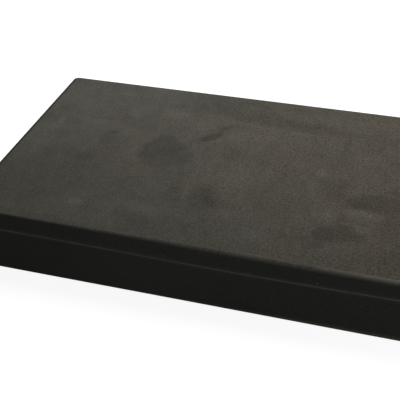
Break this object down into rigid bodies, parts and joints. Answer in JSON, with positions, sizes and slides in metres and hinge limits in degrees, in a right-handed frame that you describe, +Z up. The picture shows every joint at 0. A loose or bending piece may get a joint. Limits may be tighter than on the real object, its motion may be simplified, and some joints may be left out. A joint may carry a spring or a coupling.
{
  "type": "yoga block",
  "caption": "Flat rectangular foam slab with eased edges and a fine mould line round its sides, for sitting or resting on in yoga.",
  "frame": {"origin": "centre of the underside", "axes": "+X along the length, +Y across the width, +Z up out of the top face"},
  "size_m": [0.3058, 0.2058, 0.05],
  "materials": {
    "foam": "matt, finely grained closed-cell foam"
  },
  "bodies": {
    "root": {"block": "foam"}
  },
  "joints": []
}
